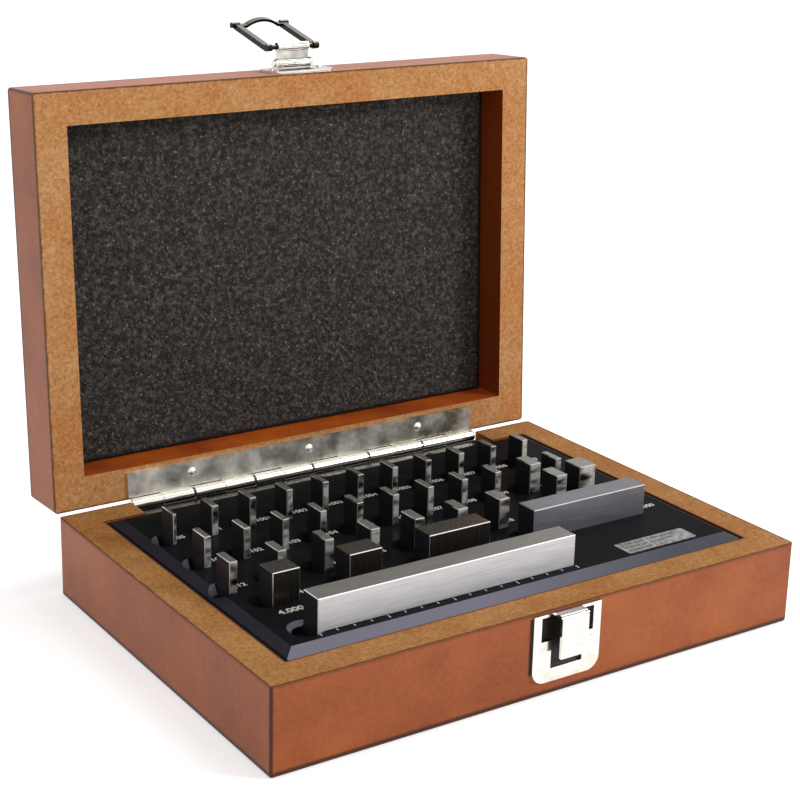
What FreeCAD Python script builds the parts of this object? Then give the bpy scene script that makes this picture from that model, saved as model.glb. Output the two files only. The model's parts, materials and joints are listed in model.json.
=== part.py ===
"""Boxed set of 36 inch gauge blocks: hinged wooden case, moulded tray, steel blocks, draw latch.

Millimetres, +Z up, +X along the front of the case, +Y towards the hinge.
The origin is the centre of the base's underside. The lid stands open, and the latch is thrown back.

The tray is laid out first, from its rows of slots. The wooden case is sized round the tray.
Lid parts are drawn with the lid's rim on z = 0 and its outer face up, then swung open together.
"""
import FreeCAD, Part
import os
import re

SIZES = {
    # Gauge blocks
    "mm_per_inch": 25.4,
    "block_depth": 9.0,              # the block's short side, across its slot row
    "short_block_height": 30.0,      # blocks up to 0.400 inch
    "tall_block_height": 35.0,       # blocks over 0.400 inch
    "block_edge": 0.25,              # chamfer on every block edge
    "block_rise": 11.1,              # how far every block stands above the tray's top
    # Moulded tray
    "slot_clearance": 0.15,          # each side of a block in its slot
    "tray_floor": 4.9,               # under the deepest slots
    "tray_rise": 1.7,                # the tray's top above the base rim
    "tray_shoulder": 0.5,            # foot of the bevel, below the base rim
    "tray_bevel": 4.6,               # width of the sloping border
    "tray_gap": 0.4,                 # tray to wood
    "tray_front_margin": 8.55,       # tray edge to the four inch block
    "tray_back_margin": 25.0,
    "tray_right_margin": 17.6,
    "scoop_radius": 5.5,             # finger scoop beside each slot, at the tray's top
    "scoop_floor_radius": 3.4,
    "scoop_depth": 3.2,
    "notch_length": 6.2,             # thumb notch at the end of the four inch slot
    "notch_depth": 3.8,
    "notch_bevel": 1.5,              # sloping lip round the notch
    # Slot rows, each a step behind the row in front of it
    "row_a_step": 23.2,
    "row_b_step": 22.5,
    "row_c_step": 14.5,
    "row_d_step": 23.85,
    "row_a_start": 9.6,              # from the tray's left edge to the first block
    "row_b_start": 9.4,
    "row_c_start": 6.5,
    "row_d_start": 14.2,
    "long_block_start": 16.45,
    "narrow_pitch": 15.1,            # rows A and B
    "medium_pitch": 18.1,            # row C
    "wide_gap": 18.9,                # between the blocks of row D
    "stray_b_gap": 13.4,             # from row B to the odd blocks at its right
    "stray_c_gap": 27.7,             # from row C to the odd blocks at its right
    "stray_b_between": 7.0,
    "stray_c_between": 8.4,
    "stray_shift": 8.0,              # the odd blocks of row C stand behind it
    "stray_stagger": 3.0,            # and the last of them further still
    # Wooden case
    "wall": 12.2,
    "corner_radius": 1.2,            # upright outer corners
    "edge_radius": 1.1,              # outer edges of the top and the underside
    "panel_thickness": 3.2,
    "panel_lap": 5.0,                # rabbet that holds the panel
    "panel_gap": 0.1,
    "foam_thickness": 6.3,
    "foam_gap": 0.3,
    "foam_to_blocks": 0.7,           # with the lid shut
    "seam": 0.2,                     # between the rims with the lid shut
    "open_angle": 92.6,
    # Piano hinge
    "hinge_shift": 0.6,              # hinge centre, right of the case centre
    "hinge_setback": 1.7,            # pin axis behind the rear face
    "knuckle_count": 12,
    "knuckle_pitch": 13.0,
    "knuckle_gap": 0.25,
    "knuckle_radius": 2.25,
    "hinge_pin_radius": 0.9,
    "hinge_running_fit": 0.05,
    "leaf_thickness": 1.0,
    "leaf_reach": 10.5,              # over the rim, from the rear face
    "leaf_relief": 0.3,              # leaf edge to the other leaf's knuckles
    "mortise_margin": 0.5,
    "hinge_screw_pitch": 51.5,
    "hinge_screw_inset": 6.2,
    "screw_radius": 1.1,
    "screw_length": 9.0,
    "screw_head_radius": 1.85,
    "screw_head_height": 0.95,
    "screw_hole_radius": 1.3,
    "pilot_fit": 0.05,
    # Keeper on the front of the base
    "latch_shift": 4.0,              # latch centre, right of the case centre
    "plate_thickness": 1.0,
    "keeper_width": 27.7,
    "keeper_height": 24.2,
    "keeper_drop": 0.8,              # below the base rim
    "keeper_corner": 5.0,
    "hook_width": 11.0,
    "hook_height": 15.0,
    "hook_proud": 5.0,               # front of the hook, off the wood
    "hook_bend": 1.6,                # outer radius of the bend
    "hook_side_gap": 1.0,            # window left where the hook was pressed out
    "window_below_hook": 4.5,
    "wing_width": 4.2,               # small windows beside the hook
    "wing_height": 8.5,
    "nail_radius": 0.6,
    "nail_length": 6.0,
    "nail_head_radius": 1.1,
    "nail_head_height": 0.5,
    "nail_hole_radius": 0.65,
    "keeper_nail_x": 10.2,
    "keeper_nail_drop": 12.0,
    # Latch on the front of the lid
    "latch_plate_width": 26.0,
    "latch_plate_height": 15.0,
    "latch_plate_inset": 2.0,        # from the lid's rim
    "latch_plate_corner": 3.0,
    "latch_slot_width": 9.5,
    "latch_slot_height": 3.4,
    "latch_slot_inset": 1.6,
    "latch_nail_x": 10.3,
    "latch_nail_up": 10.5,
    "pivot_up": 12.5,                # lever pivot, from the lid's rim
    "pivot_proud": 3.0,              # lever pivot, off the wood
    "ear_thickness": 1.0,
    "ear_radius": 1.7,
    "side_play": 0.2,                # lever between its ears
    "lever_width": 13.4,
    "lever_length": 6.0,             # pivot to bail bar
    "lever_thickness": 1.0,
    "barrel_radius": 1.7,
    "lever_pin_radius": 0.8,
    "pin_fit": 0.03,
    "running_fit": 0.08,
    "pin_head_radius": 1.3,
    "pin_head_height": 0.6,
    "lever_swing": 80.0,             # thrown back to latched
    "bail_lean": 16.0,               # of the thrown back bail, off the lid's front
    "bail_bar_radius": 0.85,
    "bail_width": 22.6,
    "bail_side_width": 2.3,
    "bail_sheet": 1.0,
    "bail_fold": 1.0,                # folded edge on each side bar
    "bail_end_bar": 2.4,
    "bail_to_hook": 0.35,            # end bar under the hook when latched
    "arch_width": 13.6,              # raised middle of the end bar
    "arch_rise": 2.2,
    "bail_heel_radius": 1.35,        # rounded ends of the side bars, about the bail bar
    "curl_radius": 1.1,
    "curl_length": 1.2,
}

# Nominal sizes in inches, left to right in each row
ROW_A = ["0.0500", "0.1000"] + [f"0.100{n}" for n in range(1, 10)]
ROW_B = [f"0.10{n}0" for n in range(1, 10)]
ROW_C = [f"0.1{n}00" for n in range(2, 9)]
ROW_D = ["0.4000", "0.5000", "1.0000", "2.0000"]
STRAY_B = ["0.2000", "0.1100"]
STRAY_C = ["0.1900", "0.3000"]
LONG_BLOCK = "4.0000"

doc = FreeCAD.newDocument("gauge_block_set")
NAMES = {}


def dims(text):
    """Turn an expression written with plain size names into one that reads the sheets."""
    return re.sub(r"[a-z]\w*", lambda word: NAMES.get(word.group(), word.group()), text)


def fill_sheet(name, cells):
    """Write each value or formula beside its name, with the name as the cell's alias."""
    sheet = doc.addObject("Spreadsheet::Sheet", name)
    for line, (alias, content) in enumerate(cells.items(), start=1):
        sheet.set(f"A{line}", alias)
        sheet.set(f"B{line}", f"={dims(content)}" if isinstance(content, str) else str(content))
        sheet.setAlias(f"B{line}", alias)
        NAMES[alias] = f"{name}.{alias}"
    doc.recompute()


fill_sheet("Dims", SIZES)


def width_of(inches):
    return f"{inches} * mm_per_inch"


def wide_row_start(count):
    """Left of a row D block: every block before it is as wide as its own size."""
    before = " + ".join(["row_d_start"] + [width_of(size) for size in ROW_D[:count]])
    return f"{before} + {count} * wide_gap"


LAYOUT = {
    "row_a_end": f"row_a_start + {len(ROW_A) - 1} * narrow_pitch + {width_of(ROW_A[-1])}",
    "row_b_end": f"row_b_start + {len(ROW_B) - 1} * narrow_pitch + {width_of(ROW_B[-1])}",
    "row_c_end": f"row_c_start + {len(ROW_C) - 1} * medium_pitch + {width_of(ROW_C[-1])}",
    "row_d_end": f"{wide_row_start(len(ROW_D))} - wide_gap",
    "stray_b_first": "row_b_end + stray_b_gap",
    "stray_b_second": f"stray_b_first + {width_of(STRAY_B[0])} + stray_b_between",
    "stray_b_end": f"stray_b_second + {width_of(STRAY_B[1])}",
    "stray_c_first": "row_c_end + stray_c_gap",
    "stray_c_second": f"stray_c_first + {width_of(STRAY_C[0])} + stray_c_between",
    "stray_c_end": f"stray_c_second + {width_of(STRAY_C[1])}",
    "long_block_end": f"long_block_start + {width_of(LONG_BLOCK)}",
    "rows_end": "max(max(row_a_end; row_d_end); max(stray_b_end; stray_c_end); long_block_end)",
    "tray_length": "rows_end + tray_right_margin",
    "row_d_front": "tray_front_margin + row_d_step",
    "row_c_front": "row_d_front + row_c_step",
    "stray_c_first_front": "row_c_front + stray_shift",
    "stray_c_second_front": "stray_c_first_front + stray_stagger",
    "row_b_front": "row_c_front + row_b_step",
    "row_a_front": "row_b_front + row_a_step",
    "tray_depth": "row_a_front + block_depth + tray_back_margin",
    "tray_left": "-tray_length / 2",
    "tray_front": "-tray_depth / 2",
    "base_height": "panel_thickness + tray_floor + tall_block_height - block_rise - tray_rise",
    "tray_top": "base_height + tray_rise",
    "tray_step": "base_height - tray_shoulder",
    "block_top": "tray_top + block_rise",
    "recess": "tray_rise + block_rise - seam + foam_to_blocks",
    "lid_height": "recess + foam_thickness + panel_thickness",
    "case_width": "tray_length + 2 * (tray_gap + wall)",
    "case_depth": "tray_depth + 2 * (tray_gap + wall)",
    "side": "case_width / 2",
    "rear": "case_depth / 2",
    "front": "-case_depth / 2",
    "hinge_y": "rear + hinge_setback",
    "hinge_z": "base_height + seam - knuckle_radius",
    "hinge_length": "knuckle_count * knuckle_pitch",
    "hinge_left": "hinge_shift - hinge_length / 2",
    "leaf_floor": "hinge_z - knuckle_radius",
    "keeper_top": "base_height - keeper_drop",
    "hook_top": "keeper_top - plate_thickness",
    "hook_bottom": "keeper_top - hook_height",
    "plate_face": "front - plate_thickness",
    "pivot_y": "front - pivot_proud",
    "bail_pivot_y": "pivot_y - lever_length",
    "latched_bail_z": "base_height + seam + pivot_up - lever_length * sin(lever_swing)",
    "bail_reach": "latched_bail_z - hook_bottom + bail_to_hook",
}
for alias, formula in LAYOUT.items():
    NAMES[alias] = f"Layout.{alias}"
fill_sheet("Layout", LAYOUT)

OPEN_LID = ("placement(vector(0; 0; 0); rotation(vector(1; 0; 0); -open_angle);"
            " vector(0; hinge_y; hinge_z))"
            " * placement(vector(0; 0; base_height + seam); rotation(vector(1; 0; 0); 0))")


# ---------------------------------------------------------------- helpers

parts = []
TURNS = {
    "x": FreeCAD.Rotation(FreeCAD.Vector(0, 1, 0), 90),
    "y": FreeCAD.Rotation(FreeCAD.Vector(1, 0, 0), -90),
    "z": FreeCAD.Rotation(),
    "-y": FreeCAD.Rotation(FreeCAD.Vector(1, 0, 0), 90),
    "-z": FreeCAD.Rotation(FreeCAD.Vector(1, 0, 0), 180),
}


def keep(feature, name, placement=None):
    """Mark a feature as a finished sub-part, name it, and put it where it belongs."""
    feature.Label = name
    if placement:
        feature.setExpression("Placement", dims(placement))
    parts.append(feature)


def bind(feature, **sizes):
    for name, expression in sizes.items():
        feature.setExpression(name, dims(expression))
    return feature


def place(feature, x="0", y="0", z="0"):
    for axis, expression in zip("xyz", (x, y, z)):
        feature.setExpression(f"Placement.Base.{axis}", dims(expression))
    return feature


def about(middle, half):
    """Low and high ends of a span that is centred on middle."""
    return f"({middle}) - ({half})", f"({middle}) + ({half})"


def mirrored_spans(near, far):
    """The same span to the left and to the right of the latch's centre."""
    return ((f"latch_shift - ({far})", f"latch_shift - ({near})"),
            (f"latch_shift + ({near})", f"latch_shift + ({far})"))


def box(name, x, y, z, body=None, kind="Part::Box"):
    """Box between the low and high expressions given for each direction."""
    feature = body.newObject(kind, name) if body else doc.addObject(kind, name)
    for size, (low, high) in zip(("Length", "Width", "Height"), (x, y, z)):
        feature.setExpression(size, dims(f"({high}) - ({low})"))
    return place(feature, x[0], y[0], z[0])


def rod(name, axis, radius, span, x="0", y="0", z="0"):
    """Cylinder along an axis, from the low to the high end of the span."""
    feature = doc.addObject("Part::Cylinder", name)
    feature.Placement.Rotation = TURNS[axis]
    bind(feature, Radius=radius, Height=f"({span[1]}) - ({span[0]})")
    start = dict(x=x, y=y, z=z)
    start[axis] = span[0]
    return place(feature, **start)


def cut(name, base, tools):
    feature = doc.addObject("Part::Cut", name)
    feature.Base, feature.Tool = base, group(f"{name}_tools", tools)
    return feature


def fuse(name, shapes):
    feature = doc.addObject("Part::MultiFuse", name)
    feature.Shapes = shapes
    feature.Refine = True
    return feature


def common(name, shapes):
    feature = doc.addObject("Part::MultiCommon", name)
    feature.Shapes = shapes
    return feature


def group(name, shapes):
    feature = doc.addObject("Part::Compound", name)
    feature.Links = shapes
    return feature


def edge_names(feature, test):
    """Names of the edges that pass the test, which sees an edge's two ends."""
    return [f"Edge{number}" for number, edge in enumerate(feature.Shape.Edges, start=1)
            if test(edge.Vertexes[0].Point, edge.Vertexes[-1].Point)]


def runs_along(axis):
    """Test for the straight edges of a box along one axis."""
    others = [other for other in "xyz" if other != axis]
    return lambda a, b: all(abs(getattr(a, o) - getattr(b, o)) < 1e-6 for o in others)


def round_edges(body, base, radius, names):
    feature = body.newObject("PartDesign::Fillet", f"{body.Name}_{radius}")
    feature.Base = (base, names)
    bind(feature, Radius=radius)
    doc.recompute()
    return feature


def dome_headed(name, kind, seats, axis):
    """Dome headed screws or nails. A seat is the surface point that a head rests on."""
    rise, reach = f"{kind}_head_height", f"{kind}_head_radius"
    ball = f"(({reach} ^ 2 + {rise} ^ 2) / (2 * {rise}))"
    sign = "+" if axis == "z" else "-"
    along = axis[-1]
    solids = []
    for count, seat in enumerate(seats):
        head = doc.addObject("Part::Sphere", f"{name}_head{count}")
        shank = doc.addObject("Part::Cylinder", f"{name}_shank{count}")
        bind(head, Radius=ball, Angle1=f"asin(({ball} - {rise}) / {ball})")
        bind(shank, Radius=f"{kind}_radius", Height=f"{kind}_length")
        for feature, offset in ((head, f"({rise} - {ball})"), (shank, f"(-{kind}_length)")):
            feature.Placement.Rotation = TURNS[axis]
            spot = dict(zip("xyz", seat))
            spot[along] = f"{spot[along]} {sign} {offset}"
            place(feature, **spot)
        solids.append(fuse(f"{name}_{count}", [head, shank]))
    return group(name, solids)


def pilots(name, kind, seats, axis):
    """Pilot holes in the wood for those screws or nails."""
    depth = f"({kind}_length + pilot_fit)"
    holes = []
    for count, seat in enumerate(seats):
        spot = dict(zip("xyz", seat))
        start = spot[axis[-1]]
        span = (f"{start} - {depth}", start) if axis == "z" else (start, f"{start} + {depth}")
        holes.append(rod(f"{name}_hole{count}", axis[-1], f"{kind}_radius + pilot_fit", span, **spot))
    return holes


# ---------------------------------------------------------------- wooden case

def case_half(name, height, rim_up):
    """Four walls in one piece: rounded outside, square inside, rabbet for the panel."""
    body = doc.addObject("PartDesign::Body", name)
    block = box(f"{name}_block", about("0", "side"), about("0", "rear"), ("0", height),
                body, "PartDesign::AdditiveBox")
    doc.recompute()
    outer_face = 0 if rim_up else block.Shape.BoundBox.ZMax
    upright = edge_names(block, runs_along("z"))
    block = round_edges(body, block, "corner_radius", upright)
    around = edge_names(block, lambda a, b: max(abs(a.z - outer_face), abs(b.z - outer_face)) < 1e-6)
    round_edges(body, block, "edge_radius", around)
    box(f"{name}_cavity", about("0", "side - wall"), about("0", "rear - wall"), ("0", height),
        body, "PartDesign::SubtractiveBox")
    rabbet = ("0", "panel_thickness") if rim_up else (f"{height} - panel_thickness", height)
    box(f"{name}_rabbet", about("0", "side - wall + panel_lap"),
        about("0", "rear - wall + panel_lap"), rabbet, body, "PartDesign::SubtractiveBox")
    return body


def mitred_rail(name, ring, height, turn, half_length, half_depth):
    """One rail of a case half: the ring inside a wedge whose ends run at 45 degrees."""
    wedge = doc.addObject("Part::Wedge", f"{name}_mitre")
    bind(wedge, Xmin=f"-{half_length}", Xmax=half_length, Ymin=f"-{half_depth}",
         X2min=f"wall - {half_length}", X2max=f"{half_length} - wall",
         Ymax=f"wall - {half_depth}", Zmin="0", Z2min="0", Zmax=height, Z2max=height)
    wedge.Placement.Rotation = FreeCAD.Rotation(FreeCAD.Vector(0, 0, 1), turn)
    return common(f"{name}_common", [ring, wedge])


def case_rails(half, ring, height, bores, placement=None):
    sides = (("front", 0, "side", "rear"), ("right", 90, "rear", "side"),
             ("rear", 180, "side", "rear"), ("left", 270, "rear", "side"))
    for place_name, *shape in sides:
        name = f"{half}_{place_name}"
        rail = mitred_rail(name, ring, height, *shape)
        if place_name in bores:
            rail = cut(f"{name}_bored", rail, bores[place_name])
        keep(rail, f"{name}_rail", placement)


def sheet_in_case(name, x_gap, y_gap, z, placement=None):
    """Flat piece that fills the case across, less the gap given on each side."""
    board = box(f"{name}_board", about("0", f"side - {x_gap}"), about("0", f"rear - {y_gap}"), z)
    keep(group(f"{name}_group", [board]), name, placement)


screw_xs = [f"hinge_shift + ({step}) * hinge_screw_pitch" for step in (-1, 0, 1)]
base_screws = [(x, "rear - hinge_screw_inset", "leaf_floor + leaf_thickness") for x in screw_xs]
lid_screws = [(x, "rear - hinge_screw_inset", "-leaf_thickness") for x in screw_xs]
keeper_nails = [(f"latch_shift {sign} keeper_nail_x", "plate_face", "keeper_top - keeper_nail_drop")
                for sign in "-+"]
latch_nails = [(f"latch_shift {sign} latch_nail_x", "plate_face", "latch_nail_up")
               for sign in "-+"]

mortise = box("hinge_mortise",
              ("hinge_left - mortise_margin", "hinge_left + hinge_length + mortise_margin"),
              ("rear - wall", "rear"), ("leaf_floor", "base_height"))
case_rails("base", case_half("base_ring", "base_height", True), "base_height", {
    "rear": [mortise] + pilots("base_screw", "screw", base_screws, "z"),
    "front": pilots("keeper_nail", "nail", keeper_nails, "-y")})
case_rails("lid", case_half("lid_ring", "lid_height", False), "lid_height", {
    "rear": pilots("lid_screw", "screw", lid_screws, "-z"),
    "front": pilots("latch_nail", "nail", latch_nails, "-y")}, OPEN_LID)
in_rabbet = "(wall - panel_lap + panel_gap)"
sheet_in_case("base_panel", in_rabbet, in_rabbet, ("0", "panel_thickness"))
sheet_in_case("lid_panel", in_rabbet, in_rabbet,
              ("lid_height - panel_thickness", "lid_height"), OPEN_LID)
beside_wall = "(wall + foam_gap)"
sheet_in_case("lid_foam", beside_wall, beside_wall, ("recess", "recess + foam_thickness"), OPEN_LID)


# ---------------------------------------------------------------- blocks and tray

def block_seats():
    """Every block: its size in inches, and its left and front from the tray's corner."""
    seats = [(LONG_BLOCK, "long_block_start", "tray_front_margin")]
    for row, sizes, pitch in (("a", ROW_A, "narrow"), ("b", ROW_B, "narrow"), ("c", ROW_C, "medium")):
        seats += [(size, f"row_{row}_start + {count} * {pitch}_pitch", f"row_{row}_front")
                  for count, size in enumerate(sizes)]
    seats += [(size, wide_row_start(count), "row_d_front") for count, size in enumerate(ROW_D)]
    seats += [(size, f"stray_b_{order}", "row_b_front")
              for size, order in zip(STRAY_B, ("first", "second"))]
    seats += [(size, f"stray_c_{order}", f"stray_c_{order}_front")
              for size, order in zip(STRAY_C, ("first", "second"))]
    return seats


def block_height(size):
    return "tall_block_height" if float(size) > 0.4 else "short_block_height"


def gauge_block(name, size, left, front):
    """Steel block with a small chamfer on all twelve edges."""
    body = doc.addObject("PartDesign::Body", name)
    blank = body.newObject("PartDesign::AdditiveBox", f"{name}_blank")
    bind(blank, Length=width_of(size), Width="block_depth", Height=block_height(size))
    doc.recompute()
    chamfer = body.newObject("PartDesign::Chamfer", f"{name}_chamfer")
    chamfer.Base = (blank, edge_names(blank, lambda a, b: True))
    bind(chamfer, Size="block_edge")
    place(body, f"tray_left + {left}", f"tray_front + {front}", f"block_top - {block_height(size)}")
    keep(body, name)


def slot(name, size, left, front):
    """Cavity that takes the block."""
    x = (f"tray_left + {left} - slot_clearance",
         f"tray_left + {left} + {width_of(size)} + slot_clearance")
    y = (f"tray_front + {front} - slot_clearance",
         f"tray_front + {front} + block_depth + slot_clearance")
    return box(name, x, y, (f"block_top - {block_height(size)}", "tray_top"))


def scoop(name, left, front):
    """Tapered half round hollow for a finger, on the slot's left edge."""
    dish = bind(doc.addObject("Part::Cone", name), Radius1="scoop_floor_radius",
                Radius2="scoop_radius", Height="scoop_depth", Angle="180")
    dish.Placement.Rotation = FreeCAD.Rotation(FreeCAD.Vector(0, 0, 1), 90)
    return place(dish, f"tray_left + {left} - slot_clearance",
                 f"tray_front + {front} + block_depth / 2", "tray_top - scoop_depth")


hollows = []
for size, left, front in block_seats():
    tag = size.replace(".", "_")
    gauge_block(f"gauge_block_{tag}", size, left, front)
    hollows.append(slot(f"slot_{tag}", size, left, front))
    if size != LONG_BLOCK:
        hollows.append(scoop(f"scoop_{tag}", left, front))

notch_radius = "block_depth / 2 + slot_clearance"
notch_x = "tray_left + long_block_start - notch_length + block_depth / 2 + slot_clearance"
notch_y = "tray_front + tray_front_margin + block_depth / 2"
notch_z = ("tray_top - notch_depth", "tray_top")
hollows.append(rod("notch_end", "z", notch_radius, notch_z, notch_x, notch_y))
notch_run = (notch_x, "tray_left + long_block_start")
hollows.append(box("notch_run", notch_run, about(notch_y, notch_radius), notch_z))
lip_radius = f"{notch_radius} + notch_bevel"
lip_bottom = "tray_top - notch_bevel"
lip_end = bind(doc.addObject("Part::Cone", "notch_lip_end"), Radius1=notch_radius,
               Radius2=lip_radius, Height="notch_bevel")
hollows.append(place(lip_end, notch_x, notch_y, lip_bottom))
lip_run = doc.addObject("Part::Wedge", "notch_lip_run")
bind(lip_run, Xmin=notch_run[0], X2min=notch_run[0], Xmax=notch_run[1], X2max=notch_run[1],
     Zmin=f"-({notch_radius})", Z2min=f"-({lip_radius})", Zmax=notch_radius, Z2max=lip_radius,
     Ymin=lip_bottom, Ymax="tray_top")
lip_run.Placement.Rotation = TURNS["-y"]
hollows.append(place(lip_run, y=notch_y))

tray_lower = box("tray_lower", ("tray_left", "-tray_left"), ("tray_front", "-tray_front"),
                 ("panel_thickness", "tray_step"))
tray_upper = doc.addObject("Part::Wedge", "tray_upper")
bind(tray_upper, Xmin="tray_left", Xmax="-tray_left", Zmin="tray_front", Zmax="-tray_front",
     X2min="tray_left + tray_bevel", X2max="-tray_left - tray_bevel",
     Z2min="tray_front + tray_bevel", Z2max="-tray_front - tray_bevel",
     Ymin="tray_step", Ymax="tray_top")
tray_upper.Placement.Rotation = TURNS["-y"]
tray_solid = fuse("tray_solid", [tray_lower, tray_upper])
keep(cut("tray_moulding", tray_solid, [fuse("tray_hollows", hollows)]), "block_tray")


# ---------------------------------------------------------------- piano hinge

def hinge_leaf(name, pin_z, plate_z, first_knuckle):
    """Plate, and a curled knuckle at every second place along the pin."""
    solids = [box(f"{name}_plate", ("hinge_left", "hinge_left + hinge_length"),
                  ("rear - leaf_reach", "hinge_y - knuckle_radius - leaf_relief"), plate_z)]
    for number in range(first_knuckle, SIZES["knuckle_count"], 2):
        span = (f"hinge_left + {number} * knuckle_pitch + knuckle_gap / 2",
                f"hinge_left + {number + 1} * knuckle_pitch - knuckle_gap / 2")
        solids.append(box(f"{name}_web{number}", span, ("rear - leaf_reach", "hinge_y"), plate_z))
        solids.append(rod(f"{name}_knuckle{number}", "x", "knuckle_radius", span,
                          y="hinge_y", z=pin_z))
    bores = [rod(f"{name}_bore", "x", "hinge_pin_radius + hinge_running_fit",
                 ("hinge_left", "hinge_left + hinge_length"), y="hinge_y", z=pin_z)]
    bores += [rod(f"{name}_hole{count}", "z", "screw_hole_radius", plate_z, x,
                  "rear - hinge_screw_inset") for count, x in enumerate(screw_xs)]
    return cut(f"{name}_bored", fuse(f"{name}_blank", solids), bores)


keep(hinge_leaf("base_leaf", "hinge_z", ("leaf_floor", "leaf_floor + leaf_thickness"), 0),
     "hinge_base_leaf")
keep(hinge_leaf("lid_leaf", "-knuckle_radius", ("-leaf_thickness", "0"), 1),
     "hinge_lid_leaf", OPEN_LID)
keep(rod("hinge_rod", "x", "hinge_pin_radius", ("hinge_left", "hinge_left + hinge_length"),
         y="hinge_y", z="hinge_z"), "hinge_pin")
keep(dome_headed("base_screws", "screw", base_screws, "z"), "hinge_base_screws")
keep(dome_headed("lid_screws", "screw", lid_screws, "-z"), "hinge_lid_screws", OPEN_LID)


# ---------------------------------------------------------------- keeper

def plate_on_front(name, half_width, z):
    """Body with a sheet metal blank that lies on the front of the case."""
    body = doc.addObject("PartDesign::Body", name)
    blank = box(f"{name}_blank", about("latch_shift", half_width), ("plate_face", "front"), z,
                body, "PartDesign::AdditiveBox")
    doc.recompute()
    return body, blank


through_plate = ("plate_face", "front")
keeper, blank = plate_on_front("keeper", "keeper_width / 2",
                               ("keeper_top - keeper_height", "keeper_top"))
low_half = blank.Shape.BoundBox.Center.z
low_corners = edge_names(blank, lambda a, b: runs_along("y")(a, b) and a.z < low_half)
round_edges(keeper, blank, "keeper_corner", low_corners)
window_half = "hook_width / 2 + hook_side_gap"
box("keeper_window", about("latch_shift", window_half), through_plate,
    ("hook_bottom - window_below_hook", "hook_top"), keeper, "PartDesign::SubtractiveBox")
for count, span in enumerate(mirrored_spans(window_half, f"{window_half} + wing_width")):
    box(f"keeper_wing{count}", span, through_plate, ("hook_top - wing_height", "hook_top"),
        keeper, "PartDesign::SubtractiveBox")

hook = doc.addObject("PartDesign::Body", "hook")
hook_block = box("hook_block", about("latch_shift", "hook_width / 2"),
                 ("front - hook_proud", "front"), ("hook_bottom", "keeper_top"),
                 hook, "PartDesign::AdditiveBox")
doc.recompute()
ends = hook_block.Shape.BoundBox
bend = edge_names(hook_block, lambda a, b: runs_along("x")(a, b)
                  and abs(a.y - ends.YMin) < 1e-6 and abs(a.z - ends.ZMax) < 1e-6)
round_edges(hook, hook_block, "hook_bend", bend)
box("hook_hollow", about("latch_shift", "hook_width / 2"),
    ("front - hook_proud + plate_thickness", "front"), ("hook_bottom", "hook_top"),
    hook, "PartDesign::SubtractiveBox")
nail_holes = [rod(f"keeper_nail_way{count}", "y", "nail_hole_radius", through_plate, x, y, z)
              for count, (x, y, z) in enumerate(keeper_nails)]
keep(cut("keeper_bored", fuse("keeper_formed", [keeper, hook]), nail_holes), "keeper_plate")
keep(dome_headed("keeper_nail_pair", "nail", keeper_nails, "-y"), "keeper_nails")


# ---------------------------------------------------------------- latch

latch_sheet, blank = plate_on_front("latch_sheet", "latch_plate_width / 2",
                                    ("latch_plate_inset", "latch_plate_inset + latch_plate_height"))
round_edges(latch_sheet, blank, "latch_plate_corner", edge_names(blank, runs_along("y")))
slot_low = "latch_plate_inset + latch_slot_inset"
box("latch_slot", about("latch_shift", "latch_slot_width / 2"), through_plate,
    (slot_low, f"{slot_low} + latch_slot_height"), latch_sheet, "PartDesign::SubtractiveBox")
ear_near = "lever_width / 2 + side_play"
ear_far = f"{ear_near} + ear_thickness"
ears = []
for count, span in enumerate(mirrored_spans(ear_near, ear_far)):
    ears.append(box(f"ear{count}", span, ("pivot_y", "front"), about("pivot_up", "ear_radius")))
    ears.append(rod(f"ear_top{count}", "x", "ear_radius", span, y="pivot_y", z="pivot_up"))
latch_bores = [rod(f"latch_nail_way{count}", "y", "nail_hole_radius", through_plate, x, y, z)
               for count, (x, y, z) in enumerate(latch_nails)]
latch_bores.append(rod("ear_bore", "x", "lever_pin_radius + pin_fit",
                       about("latch_shift", ear_far), y="pivot_y", z="pivot_up"))
keep(cut("latch_plate_bored", fuse("latch_plate_formed", [latch_sheet] + ears), latch_bores),
     "latch_plate", OPEN_LID)
keep(dome_headed("latch_nail_pair", "nail", latch_nails, "-y"), "latch_plate_nails", OPEN_LID)

lever_x = about("latch_shift", "lever_width / 2")
lever_solids = [
    box("lever_web", lever_x, ("bail_pivot_y", "pivot_y"), about("pivot_up", "lever_thickness / 2")),
    rod("lever_root", "x", "barrel_radius", lever_x, y="pivot_y", z="pivot_up"),
    rod("lever_tip", "x", "barrel_radius", lever_x, y="bail_pivot_y", z="pivot_up")]
lever_bores = [
    rod("lever_root_bore", "x", "lever_pin_radius + running_fit", lever_x,
        y="pivot_y", z="pivot_up"),
    rod("lever_tip_bore", "x", "bail_bar_radius + running_fit", lever_x,
        y="bail_pivot_y", z="pivot_up")]
keep(cut("lever_bored", fuse("lever_blank", lever_solids), lever_bores), "latch_lever", OPEN_LID)

pin_half = f"{ear_far} + pin_fit"
pin_solids = [rod("lever_pin_shank", "x", "lever_pin_radius", about("latch_shift", pin_half),
                  y="pivot_y", z="pivot_up")]
for count, span in enumerate(mirrored_spans(pin_half, f"{pin_half} + pin_head_height")):
    pin_solids.append(rod(f"lever_pin_head{count}", "x", "pin_head_radius", span,
                          y="pivot_y", z="pivot_up"))
keep(fuse("lever_pin", pin_solids), "latch_lever_pin", OPEN_LID)

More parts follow.
